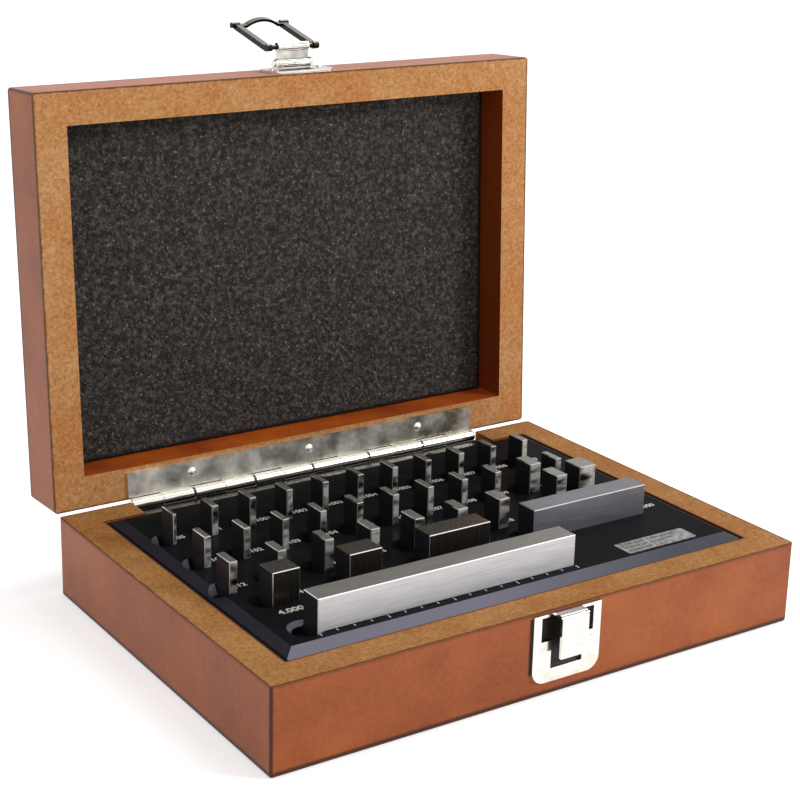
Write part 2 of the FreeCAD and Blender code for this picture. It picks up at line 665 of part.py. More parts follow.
# The bail stands upright on its own pivot here, and leans back once it is placed. Its end bar
# comes to rest just under the hook when the lever is down and the bail lies along the case.
half_bail = "bail_width / 2"
half_opening = "bail_width / 2 - bail_side_width"
sheet_y = about("0", "bail_sheet / 2")
side_y = ("-bail_sheet / 2", "bail_sheet / 2 + bail_fold")
end_z = ("bail_reach", "bail_reach + bail_end_bar")
bail_solids = [rod("bail_bar", "x", "bail_bar_radius", about("0", half_bail))]
for count, sign in enumerate("-+"):
    def outward(near, far):
        return (f"-({far})", f"-({near})") if sign == "-" else (near, far)
    bail_solids += [
        box(f"bail_side{count}", outward(half_opening, half_bail), side_y, ("0", end_z[1])),
        rod(f"bail_heel{count}", "x", "bail_heel_radius", outward(half_opening, half_bail)),
        box(f"bail_end{count}", outward("arch_width / 2", half_bail), sheet_y, end_z),
        rod(f"bail_curl{count}", "x", "curl_radius",
            outward(half_opening, f"{half_bail} + curl_length"), z=end_z[1])]
arch_radius = "((arch_width ^ 2 / 4 + arch_rise ^ 2) / (2 * arch_rise))"
arch_y = f"{arch_radius} - arch_rise"
arch_outer = rod("arch_outer", "z", f"{arch_radius} + bail_sheet / 2", end_z, y=arch_y)
arch_inner = rod("arch_inner", "z", f"{arch_radius} - bail_sheet / 2", end_z, y=arch_y)
arch_ring = cut("arch_ring", arch_outer, [arch_inner])
arch_part = box("arch_part", about("0", "arch_width / 2 + bail_sheet / 2"),
                ("-arch_rise - bail_sheet", "bail_sheet / 2"), end_z)
bail_solids.append(common("arch", [arch_ring, arch_part]))
keep(fuse("bail_formed", bail_solids), "latch_bail",
     f"{OPEN_LID} * placement(vector(latch_shift; bail_pivot_y; pivot_up);"
     " rotation(vector(1; 0; 0); bail_lean))")


# ---------------------------------------------------------------- check and write

doc.recompute()
for feature in doc.Objects:
    if "Invalid" in feature.State or "Error" in feature.State:
        raise RuntimeError(f"{feature.Name} did not build: {feature.State}")
os.makedirs("parts", exist_ok=True)
for feature in parts:
    shape = feature.Shape
    if shape.isNull() or not shape.isValid():
        raise RuntimeError(f"{feature.Label} has no valid shape")
    shape.exportStep(f"parts/{feature.Label}.step")
print(len(parts), "sub-parts written")
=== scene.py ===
"""Thirty-six inch gauge blocks in their hinged wooden case, with the lid standing open.

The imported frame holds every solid. This script gives each one its finish, adds the open
cells of the foam, the printed sizes and the size plate, and sets up the table and lamps.
"""

import json
import math

import bmesh
import bpy
from mathutils import Matrix, Vector, noise


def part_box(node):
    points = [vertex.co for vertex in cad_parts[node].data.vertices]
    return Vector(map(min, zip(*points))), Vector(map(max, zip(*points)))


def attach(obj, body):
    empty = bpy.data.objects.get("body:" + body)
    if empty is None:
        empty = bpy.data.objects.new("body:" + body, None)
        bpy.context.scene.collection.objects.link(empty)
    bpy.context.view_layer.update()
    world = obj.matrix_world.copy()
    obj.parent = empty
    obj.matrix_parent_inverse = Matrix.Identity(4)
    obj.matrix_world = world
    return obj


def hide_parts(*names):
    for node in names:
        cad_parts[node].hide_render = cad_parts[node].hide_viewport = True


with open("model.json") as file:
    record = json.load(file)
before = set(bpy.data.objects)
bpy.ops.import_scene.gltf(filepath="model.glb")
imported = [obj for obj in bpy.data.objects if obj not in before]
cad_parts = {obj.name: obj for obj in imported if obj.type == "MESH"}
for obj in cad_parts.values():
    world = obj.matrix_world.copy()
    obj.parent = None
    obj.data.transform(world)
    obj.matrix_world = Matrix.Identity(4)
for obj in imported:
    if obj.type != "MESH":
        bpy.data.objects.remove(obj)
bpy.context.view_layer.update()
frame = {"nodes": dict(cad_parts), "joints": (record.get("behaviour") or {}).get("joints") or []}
nodes = frame["nodes"]


# ---- Base of the case
# Four mitred rails of fibreboard glued round a thin bottom panel. The outside is stained red
# brown and lacquered. The rim was sawn after that, when the lid was cut off, and is bare board.

MM = 0.001
TO_MILLIMETRES = (1 / MM,) * 3     # the scale of a Mapping node
base_low, base_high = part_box("base_left_rail")
HALF_WIDTH = -base_low.x / MM
HALF_DEPTH = -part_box("base_front_rail")[0].y / MM
BASE_RIM = base_high.z / MM
WALL = (base_high.x - base_low.x) / MM

# Pattern sizes in millimetres: the clouds in the stain, the flecks and fibres of the board, and
# the waver of the line where stain ran over the rim.
CLOUD, FLECK, FIBRE, WAVER = 32.0, 1.6, 1.3, 5.0

A, B = 6, 7                 # the colour inputs of a Mix node
A_NUMBER, B_NUMBER = 2, 3   # and its number inputs
NONE_AT, FULL_AT = 1, 2     # where a Map Range node starts to count, and where it counts fully


def linear(hex_colour):
    """A colour written in sRGB hex, as the linear values that Blender works with."""
    channels = [int(hex_colour[i:i + 2], 16) / 255 for i in (1, 3, 5)]
    return [c / 12.92 if c <= 0.04045 else ((c + 0.055) / 1.055) ** 2.4 for c in channels] + [1.0]


def add(material, kind, inputs, ramp=(), **settings):
    """Adds a node. An input is given a value, an output to link to, or a whole node, which
    stands for its first output in use. ramp holds the places and colours of a colour ramp."""
    node = material.node_tree.nodes.new("ShaderNode" + kind)
    for name, value in settings.items():
        setattr(node, name, value)
    for socket, value in inputs.items():
        if isinstance(value, bpy.types.Node):
            value = next(output for output in value.outputs if output.enabled)
        if isinstance(value, bpy.types.NodeSocket):
            material.node_tree.links.new(value, node.inputs[socket])
        else:
            node.inputs[socket].default_value = value
    for count, (place, colour) in enumerate(ramp):
        stops = node.color_ramp.elements
        stop = stops[count] if count < 2 else stops.new(place)
        stop.position, stop.color = place, linear(colour)
    return node


def new_material(name):
    """A material with no nodes yet."""
    material = bpy.data.materials.new(name)
    material.use_nodes = True
    material.node_tree.nodes.clear()
    return material


def stained_board(name, rim, outer_face, plate, rim_tones, inner_line, outer_line,
                  turn=0.0, pivot=Vector()):
    """Stained and lacquered fibreboard: an even satin with soft clouds, darker along the arrises
    where stain gathers and where shade is painted in. The sawn rim is tan and matt, with short
    pale and dark fibres.

    rim and outer_face are the heights of those faces in millimetres, and plate is the box of
    the metal plate on the front, behind and beside which shade is painted, all with the case
    shut. rim_tones tint the rim, and inner_line and outer_line are the strengths of the dark
    lines of painted shade on either side of it. turn and pivot lay the patterns of an open lid
    out as if it were shut."""
    material = new_material(name)
    point = add(material, "TexCoord", {})
    turned = Matrix.Rotation(turn, 3, "X")
    shut = add(material, "Mapping", {
        "Vector": point.outputs["Object"], "Location": (pivot - turned @ pivot) / MM,
        "Rotation": (turn, 0, 0), "Scale": TO_MILLIMETRES})
    spot = add(material, "SeparateXYZ", {"Vector": shut})

    # Distances of the point from the outline of the case, a corner of it, the rim and the
    # outer face.
    aside = add(material, "Math", {0: spot.outputs["X"]}, operation="ABSOLUTE")
    across = add(material, "Math", {0: HALF_WIDTH, 1: aside}, operation="SUBTRACT")
    off_middle = add(material, "Math", {0: spot.outputs["Y"]}, operation="ABSOLUTE")
    along = add(material, "Math", {0: HALF_DEPTH, 1: off_middle}, operation="SUBTRACT")
    from_outside = add(material, "Math", {0: across, 1: along}, operation="MINIMUM")
    from_corner = add(material, "Math", {0: across, 1: along}, operation="MAXIMUM")
    above_rim = add(material, "Math", {0: spot.outputs["Z"], 1: rim}, operation="SUBTRACT")
    from_rim = add(material, "Math", {0: above_rim}, operation="ABSOLUTE")
    above_face = add(material, "Math", {0: spot.outputs["Z"], 1: outer_face},
                     operation="SUBTRACT")
    from_outer_face = add(material, "Math", {0: above_face}, operation="ABSOLUTE")

    # The outside: clouds of stain with paler flecks, dark along the arrises and by the rim,
    # where stain gathers and where shade is painted in.
    clouds = add(material, "TexNoise", {"Vector": shut, "Scale": 1 / CLOUD, "Detail": 5.0,
                                        "Roughness": 0.6})
    stain = add(material, "ValToRGB", {"Fac": clouds}, ramp=(
        (0.32, "#8E4421"), (0.5, "#9F5026"), (0.68, "#AE5E2D")))
    flecks = add(material, "TexNoise", {"Vector": shut, "Scale": 1 / FLECK, "Detail": 4.0,
                                        "Roughness": 0.7})
    fleck_strength = add(material, "MapRange", {
        "Value": flecks, NONE_AT: 0.3, FULL_AT: 0.75, "To Max": 0.16},
        interpolation_type="SMOOTHSTEP")
    flecked = add(material, "Mix", {"Factor": fleck_strength, A: stain, B: linear("#C98455")},
                  data_type="RGBA")
    from_arris = add(material, "Math", {0: from_outer_face, 1: from_outside},
                     operation="MAXIMUM")
    at_arris = add(material, "MapRange", {"Value": from_arris, NONE_AT: 2.6, FULL_AT: 1.4},
                   interpolation_type="SMOOTHSTEP")
    at_corner = add(material, "MapRange", {"Value": from_corner, NONE_AT: 1.4, FULL_AT: 0.4},
                    interpolation_type="SMOOTHSTEP")
    stain_and_painted_shade = add(material, "Math", {0: at_arris, 1: at_corner}, operation="MAXIMUM")
    near_rim = add(material, "MapRange", {
        "Value": from_rim, NONE_AT: 1.4, FULL_AT: 0.4, "To Max": outer_line},
        interpolation_type="SMOOTHSTEP")
    stain_and_painted_shade = add(material, "Math", {0: stain_and_painted_shade, 1: near_rim}, operation="MAXIMUM")
    stain_and_painted_shade = add(material, "Math", {0: stain_and_painted_shade, 1: 0.85}, operation="MULTIPLY")
    outside = add(material, "Mix", {"Factor": stain_and_painted_shade, A: flecked, B: linear("#22100A")},
                  data_type="RGBA")

    # Behind the pressed openings of the plate the board is painted dark, as shade, and the patch
    # reaches a little past the plate's left edge as a painted shadow. It is shorter than the
    # plate and a little off its middle, to stay inside its rounded corners.
    low, high = (corner / MM for corner in plate)
    middle, half = (low + high) / 2, (high - low) / 2
    beside = add(material, "Math", {0: spot.outputs["X"], 1: middle.x - 0.5},
                 operation="SUBTRACT")
    beside = add(material, "Math", {0: beside}, operation="ABSOLUTE")
    above = add(material, "Math", {0: spot.outputs["Z"], 1: middle.z + 1.3},
                operation="SUBTRACT")
    above = add(material, "Math", {0: above}, operation="ABSOLUTE")
    from_front = add(material, "Math", {0: spot.outputs["Y"], 1: HALF_DEPTH}, operation="ADD")
    on_front = add(material, "MapRange", {"Value": from_front, NONE_AT: 0.6, FULL_AT: 0.5},
                   interpolation_type="SMOOTHSTEP")
    in_width = add(material, "MapRange", {
        "Value": beside, NONE_AT: half.x + 0.7, FULL_AT: half.x - 0.2},
        interpolation_type="SMOOTHSTEP")
    in_height = add(material, "MapRange", {
        "Value": above, NONE_AT: half.z - 1.9, FULL_AT: half.z - 2.6},
        interpolation_type="SMOOTHSTEP")
    painted_plate_shade = add(material, "Math", {0: in_width, 1: in_height}, operation="MULTIPLY")
    painted_plate_shade = add(material, "Math", {0: on_front, 1: painted_plate_shade}, operation="MULTIPLY")
    front = add(material, "Mix", {"Factor": painted_plate_shade, A: outside, B: linear("#120805")},
                data_type="RGBA")

    # The inner walls are stained, painted darker on the two sides as shade, and lighter and
    # uneven front and rear, as painted light.
    at_front_or_rear = add(material, "MapRange", {
        "Value": along, NONE_AT: WALL + 0.6, FULL_AT: WALL + 0.2},
        interpolation_type="SMOOTHSTEP")
    front_rear_stain_and_light = add(material, "ValToRGB", {"Fac": clouds}, ramp=(
        (0.35, "#9A4214"), (0.65, "#CF641E")))
    wall_stain_and_shade = add(material, "Mix", {
        "Factor": at_front_or_rear, A: linear("#7E3510"), B: front_rear_stain_and_light}, data_type="RGBA")
    past_wall = add(material, "MapRange", {
        "Value": from_outside, NONE_AT: WALL - 0.4, FULL_AT: WALL - 0.1},
        interpolation_type="SMOOTHSTEP")
    past_panel = add(material, "MapRange", {
        "Value": from_outer_face, NONE_AT: 2.0, FULL_AT: 3.0}, interpolation_type="SMOOTHSTEP")
    is_inner = add(material, "Math", {0: past_wall, 1: past_panel}, operation="MULTIPLY")
    walls = add(material, "Mix", {"Factor": is_inner, A: front, B: wall_stain_and_shade},
                data_type="RGBA")

    # The bare rim: pressed fibres under a tint, with stain that ran over its outer edge and a
    # line of painted shade along its inner edge.
    fibres = add(material, "TexNoise", {"Vector": shut, "Scale": 1 / FIBRE, "Detail": 6.0,
                                        "Roughness": 0.75, "Distortion": 0.6})
    board = add(material, "ValToRGB", {"Fac": fibres}, ramp=(
        (0.32, "#A47846"), (0.5, "#CB9D67"), (0.68, "#E2BE91")))
    tint_strength = add(material, "MapRange", {"Value": clouds, NONE_AT: 0.3, FULL_AT: 0.7},
                        interpolation_type="SMOOTHSTEP")
    tint = add(material, "Mix", {
        "Factor": tint_strength, A: linear(rim_tones[0]), B: linear(rim_tones[1])},
        data_type="RGBA")
    bare = add(material, "Mix", {"Factor": 1.0, A: board, B: tint}, data_type="RGBA",
               blend_type="MULTIPLY")
    waver = add(material, "TexNoise", {"Vector": shut, "Scale": 1 / WAVER, "Detail": 5.0})
    waver = add(material, "Math", {0: waver, 1: 0.5}, operation="SUBTRACT")
    run_over = add(material, "Math", {0: from_outside, 1: waver}, operation="ADD")
    outer_edge = add(material, "MapRange", {
        "Value": run_over, NONE_AT: 0.9, FULL_AT: 0.2, "To Max": 0.8},
        interpolation_type="SMOOTHSTEP")
    inner_edge = add(material, "MapRange", {
        "Value": from_outside, NONE_AT: WALL - 0.9, FULL_AT: WALL - 0.2,
        "To Max": inner_line}, interpolation_type="SMOOTHSTEP")
    at_edges = add(material, "Math", {0: outer_edge, 1: inner_edge}, operation="MAXIMUM")
    rim_colour = add(material, "Mix", {"Factor": at_edges, A: bare, B: linear("#4A2210")},
                     data_type="RGBA")

    # The lacquer lies smooth over the flecks, and the sawn fibres stand up.
    is_rim = add(material, "MapRange", {"Value": from_rim, NONE_AT: 0.16, FULL_AT: 0.08},
                 interpolation_type="SMOOTHSTEP")
    colour = add(material, "Mix", {"Factor": is_rim, A: walls, B: rim_colour},
                 data_type="RGBA")
    roughness = add(material, "Mix", {"Factor": is_rim, A_NUMBER: 0.4, B_NUMBER: 0.85})
    lacquered = add(material, "Math", {0: flecks, 1: 0.12}, operation="MULTIPLY")
    grit = add(material, "Mix", {"Factor": is_rim, A_NUMBER: lacquered, B_NUMBER: fibres})
    bump = add(material, "Bump", {"Height": grit, "Distance": 0.12 * MM})
    surface = add(material, "BsdfPrincipled", {
        "Base Color": colour, "Roughness": roughness, "Specular IOR Level": 0.25,
        "Normal": bump})
    add(material, "OutputMaterial", {"Surface": surface})
    return material


def finish_nodes(names, material):
    """Gives CAD nodes their finish."""
    for name in names:
        nodes[name].data.materials.clear()
        nodes[name].data.materials.append(material)


SIDES = ("front", "rear", "left", "right")
finish_nodes([f"base_{side}_rail" for side in SIDES] + ["base_panel"],
             stained_board("stained fibreboard, base", BASE_RIM, 0.0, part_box("keeper_plate"),
                           rim_tones=("#D0C0A6", "#BD9E74"), inner_line=0.9, outer_line=0.45))


# ---- Lid
# The same rails and panel the other way up, cut from the same box and hung on the hinge. Its
# patterns are laid out as if it were shut, so that they run on from those of the base.

hinge = next(joint for joint in frame["joints"] if joint["name"] == "lid_hinge")
pivot = Vector(hinge["pos_m"])
shut_turn = math.radians(hinge["range_deg"][1])
shut = Matrix.Translation(pivot) @ Matrix.Rotation(shut_turn, 4, "X") @ Matrix.Translation(-pivot)


def shut_box(node):
    """Lowest and highest corner of a lid node with the lid shut."""
    points = [shut @ vertex.co for vertex in nodes[node].data.vertices]
    return (Vector([min(point[i] for point in points) for i in range(3)]),
            Vector([max(point[i] for point in points) for i in range(3)]))


lid_low, lid_high = shut_box("lid_front_rail")
finish_nodes([f"lid_{side}_rail" for side in SIDES] + ["lid_panel"],
             stained_board("stained fibreboard, lid", lid_low.z / MM, lid_high.z / MM,
                           shut_box("latch_plate"), rim_tones=("#F8ECE4", "#EFCBAE"),
                           inner_line=0.0, outer_line=0.9, turn=shut_turn, pivot=pivot))


# ---- Foam in the lid
# A sheet of charcoal open cell foam glued to the top panel, to lie over the blocks when the lid
# is shut. It was sliced, so its face is a field of cut cells about a millimetre across.

CELL = 1.1 * MM
PIT_DEPTH = 0.45 * MM
PIT_SLOPE = 1.4
GRID_STEP = 0.75 * MM
SOFT_EDGE = 2.0 * MM
EDGE_DROP = 0.7 * MM
STRUTS, GLINTS = 1.8, 1.3           # millimetres, a little coarser than the cells, to show
SHADED_FROM, SHADED_TO = 2.2, 0.6   # millimetres from the edge, where shade is painted along the cut edge
foam_low, foam_high = shut_box("lid_foam")


def new_piece(name, shape, material, body):
    """Turns a bmesh into a piece that rides on a body."""
    mesh = bpy.data.meshes.new(name)
    shape.to_mesh(mesh)
    shape.free()
    mesh.materials.append(material)
    piece = bpy.data.objects.new(name, mesh)
    bpy.context.scene.collection.objects.link(piece)
    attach(piece, body)
    return piece


# The sheet is shaped face down in the shut lid, then turned open with it.
foam_shape = bmesh.new()
foam_size = foam_high - foam_low
columns, rows = (round(length / GRID_STEP) for length in (foam_size.x, foam_size.y))
bmesh.ops.create_grid(foam_shape, x_segments=columns, y_segments=rows, size=0.5)
bmesh.ops.scale(foam_shape, vec=(foam_size.x, foam_size.y, 1), verts=foam_shape.verts)
bmesh.ops.translate(foam_shape, vec=(0, (foam_low.y + foam_high.y) / 2, foam_low.z),
                    verts=foam_shape.verts)
for vert in foam_shape.verts:
    nearest = noise.voronoi(vert.co / CELL)[0][0]
    pit = PIT_DEPTH * max(0.0, 1 - nearest * PIT_SLOPE)
    edge = min(foam_size.x / 2 - abs(vert.co.x), vert.co.y - foam_low.y, foam_high.y - vert.co.y)
    rounding = EDGE_DROP * max(0.0, 1 - edge / SOFT_EDGE) ** 2
    vert.co.z += pit + rounding
face_edges = [edge for edge in foam_shape.edges if edge.is_boundary]
cut_sides = bmesh.ops.extrude_edge_only(foam_shape, edges=face_edges)["geom"]
for element in cut_sides:
    if isinstance(element, bmesh.types.BMVert):
        element.co.z = foam_high.z
back_edges = [edge for edge in foam_shape.edges if edge.is_boundary]
bmesh.ops.contextual_create(foam_shape, geom=back_edges)
bmesh.ops.recalc_face_normals(foam_shape, faces=foam_shape.faces)
bmesh.ops.transform(foam_shape, matrix=shut.inverted(), verts=foam_shape.verts)

# The sides are extruded in no fixed order, so edges and faces are put in the order of their ends.
foam_shape.verts.index_update()
for elements in (foam_shape.edges, foam_shape.faces):
    ordered = sorted(elements, key=lambda element: sorted(vert.index for vert in element.verts))
    places = {element: place for place, element in enumerate(ordered)}
    elements.sort(key=places.get)

# Polyurethane foam is matt: dark cells between grey struts, and a few struts that glint.
open_cell_foam = new_material("open cell foam, sliced")
point = add(open_cell_foam, "TexCoord", {})
as_shut = (pivot - Matrix.Rotation(shut_turn, 3, "X") @ pivot) / MM
millimetres = add(open_cell_foam, "Mapping", {
    "Vector": point.outputs["Object"], "Location": as_shut, "Rotation": (shut_turn, 0, 0),
    "Scale": TO_MILLIMETRES})
cells = add(open_cell_foam, "TexNoise", {"Vector": millimetres, "Scale": 1 / STRUTS,
                                         "Detail": 3.0, "Roughness": 0.65})
struts = add(open_cell_foam, "ValToRGB", {"Fac": cells}, ramp=(
    (0.34, "#171513"), (0.5, "#2F2C29"), (0.68, "#55504B")))
glints = add(open_cell_foam, "TexNoise", {"Vector": millimetres, "Scale": 1 / GLINTS,
                                          "Detail": 2.0})
glint_strength = add(open_cell_foam, "MapRange", {
    "Value": glints, NONE_AT: 0.61, FULL_AT: 0.82})
glinting = add(open_cell_foam, "Mix", {
    "Factor": glint_strength, A: struts, B: linear("#8F8A84")}, data_type="RGBA")

# Along its cut edge the sheet is painted dark, as shade in the joint with the rails.
spot = add(open_cell_foam, "SeparateXYZ", {"Vector": millimetres})
aside = add(open_cell_foam, "Math", {0: spot.outputs["X"]}, operation="ABSOLUTE")
middle_y = (foam_low.y + foam_high.y) / 2 / MM
off_middle = add(open_cell_foam, "Math", {0: spot.outputs["Y"], 1: middle_y},
                 operation="SUBTRACT")
off_middle = add(open_cell_foam, "Math", {0: off_middle}, operation="ABSOLUTE")
half_foam = foam_size / 2 / MM
at_ends = add(open_cell_foam, "MapRange", {
    "Value": aside, NONE_AT: half_foam.x - SHADED_FROM, FULL_AT: half_foam.x - SHADED_TO})
at_sides = add(open_cell_foam, "MapRange", {
    "Value": off_middle, NONE_AT: half_foam.y - SHADED_FROM,
    FULL_AT: half_foam.y - SHADED_TO})
at_joint = add(open_cell_foam, "Math", {0: at_ends, 1: at_sides}, operation="MAXIMUM")
foam_colour = add(open_cell_foam, "Mix", {
    "Factor": at_joint, A: glinting, B: linear("#0D0907")}, data_type="RGBA")
foam_bump = add(open_cell_foam, "Bump", {"Height": cells, "Distance": 0.5 * MM})
surface = add(open_cell_foam, "BsdfPrincipled", {
    "Base Color": foam_colour, "Roughness": 0.85, "Specular IOR Level": 0.3,
    "Normal": foam_bump})
add(open_cell_foam, "OutputMaterial", {"Surface": surface})

foam_sheet = new_piece("foam_sheet", foam_shape, open_cell_foam, "lid")
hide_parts("lid_foam")


# ---- Block tray
# One thick moulding of black polystyrene, dropped into the base, with a slot and a finger scoop
# for every block. The flat top was polished in the mould, the slopes of its border were not.

tray_low, tray_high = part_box("block_tray")
END_BORDER = 8.0 * MM        # how far the border reaches in from either end
FRONT_BORDER = 20.5 * MM     # and from the front, with the lip of the thumb notch
FOOT = 1.1 * MM              # the black line at the foot of the end slopes, where the painted sheen is left off, as shade in the crease
WAVE, HANDLED = 6.0, 14.0    # millimetres between waves, and between handled places

# Polystyrene is nearly black and shines a little, with the slight waves of a thick moulding
# and duller places where it has been handled.
black_polystyrene = new_material("black polystyrene, moulded satin")
point = add(black_polystyrene, "TexCoord", {})
millimetres = add(black_polystyrene, "Mapping", {
    "Vector": point.outputs["Object"], "Scale": TO_MILLIMETRES})
waves = add(black_polystyrene, "TexNoise", {"Vector": millimetres, "Scale": 1 / WAVE,
                                            "Detail": 2.0})
handling = add(black_polystyrene, "TexNoise", {"Vector": millimetres, "Scale": 1 / HANDLED,
                                               "Detail": 6.0})
shine = add(black_polystyrene, "MapRange", {
    "Value": handling, NONE_AT: 0.3, FULL_AT: 0.75, "To Min": 0.16, "To Max": 0.34})
wave_bump = add(black_polystyrene, "Bump", {"Height": waves, "Distance": 0.08 * MM})

# The slopes are told from the flat top and the upright walls by the way they face, and are
# painted grey, as the sheen of their unpolished face.
facing = add(black_polystyrene, "SeparateXYZ", {"Vector": point.outputs["Normal"]})
spot = add(black_polystyrene, "SeparateXYZ", {"Vector": point.outputs["Object"]})
not_flat = add(black_polystyrene, "MapRange", {
    "Value": facing.outputs["Z"], NONE_AT: 0.97, FULL_AT: 0.93})
not_upright = add(black_polystyrene, "MapRange", {
    "Value": facing.outputs["Z"], NONE_AT: 0.3, FULL_AT: 0.5})
slopes = add(black_polystyrene, "Math", {0: not_flat, 1: not_upright}, operation="MINIMUM")
aside = add(black_polystyrene, "Math", {0: spot.outputs["X"]}, operation="ABSOLUTE")
at_ends = add(black_polystyrene, "MapRange", {
    "Value": aside, NONE_AT: tray_high.x - END_BORDER,
    FULL_AT: tray_high.x - END_BORDER + 0.2 * MM})
at_front = add(black_polystyrene, "MapRange", {
    "Value": spot.outputs["Y"], NONE_AT: tray_low.y + FRONT_BORDER,
    FULL_AT: tray_low.y + FRONT_BORDER - 0.5 * MM})
on_border = add(black_polystyrene, "Math", {0: at_ends, 1: at_front}, operation="MAXIMUM")
above_foot = add(black_polystyrene, "MapRange", {
    "Value": aside, NONE_AT: tray_high.x - FOOT + 0.3 * MM, FULL_AT: tray_high.x - FOOT})
on_border = add(black_polystyrene, "Math", {0: on_border, 1: above_foot},
                operation="MULTIPLY")
painted_sheen_mask = add(black_polystyrene, "Math", {0: slopes, 1: on_border}, operation="MULTIPLY")

# The front slope is painted greyest, as light falling on it, and darker towards the right.
forwards = add(black_polystyrene, "MapRange", {
    "Value": facing.outputs["Y"], NONE_AT: -0.1, FULL_AT: -0.4})
rightwards = add(black_polystyrene, "MapRange", {
    "Value": spot.outputs["X"], NONE_AT: 0.2 * tray_low.x, FULL_AT: 0.7 * tray_high.x})
front_slope_painted_light = add(black_polystyrene, "Mix", {
    "Factor": rightwards, A: linear("#74727E"), B: linear("#4B4E54")}, data_type="RGBA")
slope_tone = add(black_polystyrene, "Mix", {
    "Factor": forwards, A: linear("#2F2E35"), B: front_slope_painted_light}, data_type="RGBA")
tray_tone = add(black_polystyrene, "Mix", {
    "Factor": painted_sheen_mask, A: linear("#19191B"), B: slope_tone}, data_type="RGBA")
surface = add(black_polystyrene, "BsdfPrincipled", {
    "Base Color": tray_tone, "Roughness": shine, "IOR": 1.59, "Specular IOR Level": 0.004,
    "Normal": wave_bump})
add(black_polystyrene, "OutputMaterial", {"Surface": surface})
finish_nodes(["block_tray"], black_polystyrene)


# ---- Size numbers on the tray
# Pad printed in white beside the foot of each block, with a row of quarter inch marks along the
# longest one.

INK = 0.03 * MM                        # its thickness
NUMBER_HEIGHT = 2.4 * MM
LARGE_NUMBER_HEIGHT = 3.0 * MM
QUARTER_INCH = 6.35 * MM
MARKS = 17
MARK_WIDTH = 0.35 * MM
INCH_MARK, QUARTER_MARK = 1.9 * MM, 1.2 * MM
MARK_GAP, NUMBER_GAP = 0.7 * MM, 1.4 * MM
FONT_PER_DIGIT, BOLDER = 1.4, 0.035    # font size and extra weight, per height of a digit
INK_GRAIN = 0.5                        # millimetres


def printing_ink(name, thin, thick, roughness):
    """Matt printing ink, thinner in places, as a pad leaves it."""
    material = new_material(name)
    point = add(material, "TexCoord", {})
    millimetres = add(material, "Mapping", {"Vector": point.outputs["Object"],
                                            "Scale": TO_MILLIMETRES})
    coverage = add(material, "TexNoise", {"Vector": millimetres, "Scale": 1 / INK_GRAIN,
                                          "Detail": 3.0})
    tone = add(material, "ValToRGB", {"Fac": coverage}, ramp=((0.3, thin), (0.62, thick)))
    surface = add(material, "BsdfPrincipled", {"Base Color": tone, "Roughness": roughness})
    add(material, "OutputMaterial", {"Surface": surface})
    return material


def printed(shape, text, height, x, y):
    """Adds a line of figures, lying on the tray, whose left end and middle are at x and y."""
    curve = bpy.data.curves.new(text, "FONT")
    curve.body = text
    curve.size = height * FONT_PER_DIGIT
    curve.extrude = INK / 2
    curve.offset = height * BOLDER
    curve.resolution_u = 3
    curve.align_y = "CENTER"
    holder = bpy.data.objects.new(text, curve)
    flat = bpy.data.meshes.new_from_object(holder)
    flat.transform(Matrix.Translation((x, y, tray_high.z + INK / 2)))
    shape.from_mesh(flat)
    bpy.data.objects.remove(holder)


block_names = sorted(name for name in nodes if name.startswith("gauge_block_"))
numbers = bmesh.new()
for name in block_names:
    low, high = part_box(name)
    whole, parts = name.split("_")[2:]
    size = f"{whole}.{parts}".strip("0") if whole == "0" else f"{whole}.000"
    if name == "gauge_block_4_0000":     # behind its left end, clear of the scoop
        printed(numbers, size, LARGE_NUMBER_HEIGHT, low.x - 3.5 * MM, high.y + 9.0 * MM)
    else:
        printed(numbers, size, NUMBER_HEIGHT, high.x + NUMBER_GAP, (low.y + high.y) / 2)

long_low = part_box("gauge_block_4_0000")[0]
for count in range(MARKS):
    length = INCH_MARK if count % 4 == 0 else QUARTER_MARK
    mark = bmesh.ops.create_cube(numbers, size=1.0)["verts"]
    bmesh.ops.scale(numbers, vec=(MARK_WIDTH, length, INK), verts=mark)
    bmesh.ops.translate(numbers, vec=(long_low.x + count * QUARTER_INCH,
                                      long_low.y - MARK_GAP - length / 2,
                                      tray_high.z + INK / 2), verts=mark)
new_piece("size_numbers", numbers,
          printing_ink("white pad printing ink", "#8F8F8D", "#E0E0DD", 0.55), "base")


# ---- Size plate
# A plain aluminium foil label stuck down at the front right of the tray, with its corners
# rounded, and printed with three rows of figures for the sizes in the set.

PLATE = Vector((31.0, 8.5, 0.25)) * MM
PLATE_CORNER = 0.8 * MM
FROM_RIGHT, FROM_FRONT = 31.7 * MM, 10.2 * MM     # of its centre, from the tray's edges
ROW_PITCH, FIGURE_HEIGHT, MARGIN = 2.5 * MM, 1.5 * MM, 2.0 * MM
MOTTLE = 1.5     # millimetres
plate_centre = Vector((tray_high.x - FROM_RIGHT, tray_low.y + FROM_FRONT,
                       tray_high.z + PLATE.z / 2))
plate = bmesh.new()
bmesh.ops.create_cube(plate, size=1.0)
bmesh.ops.scale(plate, vec=PLATE, verts=plate.verts)
corner_edges = [edge for edge in plate.edges
                if abs(edge.verts[0].co.z - edge.verts[1].co.z) > PLATE.z / 2]
bmesh.ops.bevel(plate, geom=corner_edges, offset=PLATE_CORNER, segments=4, profile=0.5,
                affect="EDGES", material=-1)
bmesh.ops.translate(plate, vec=plate_centre, verts=plate.verts)

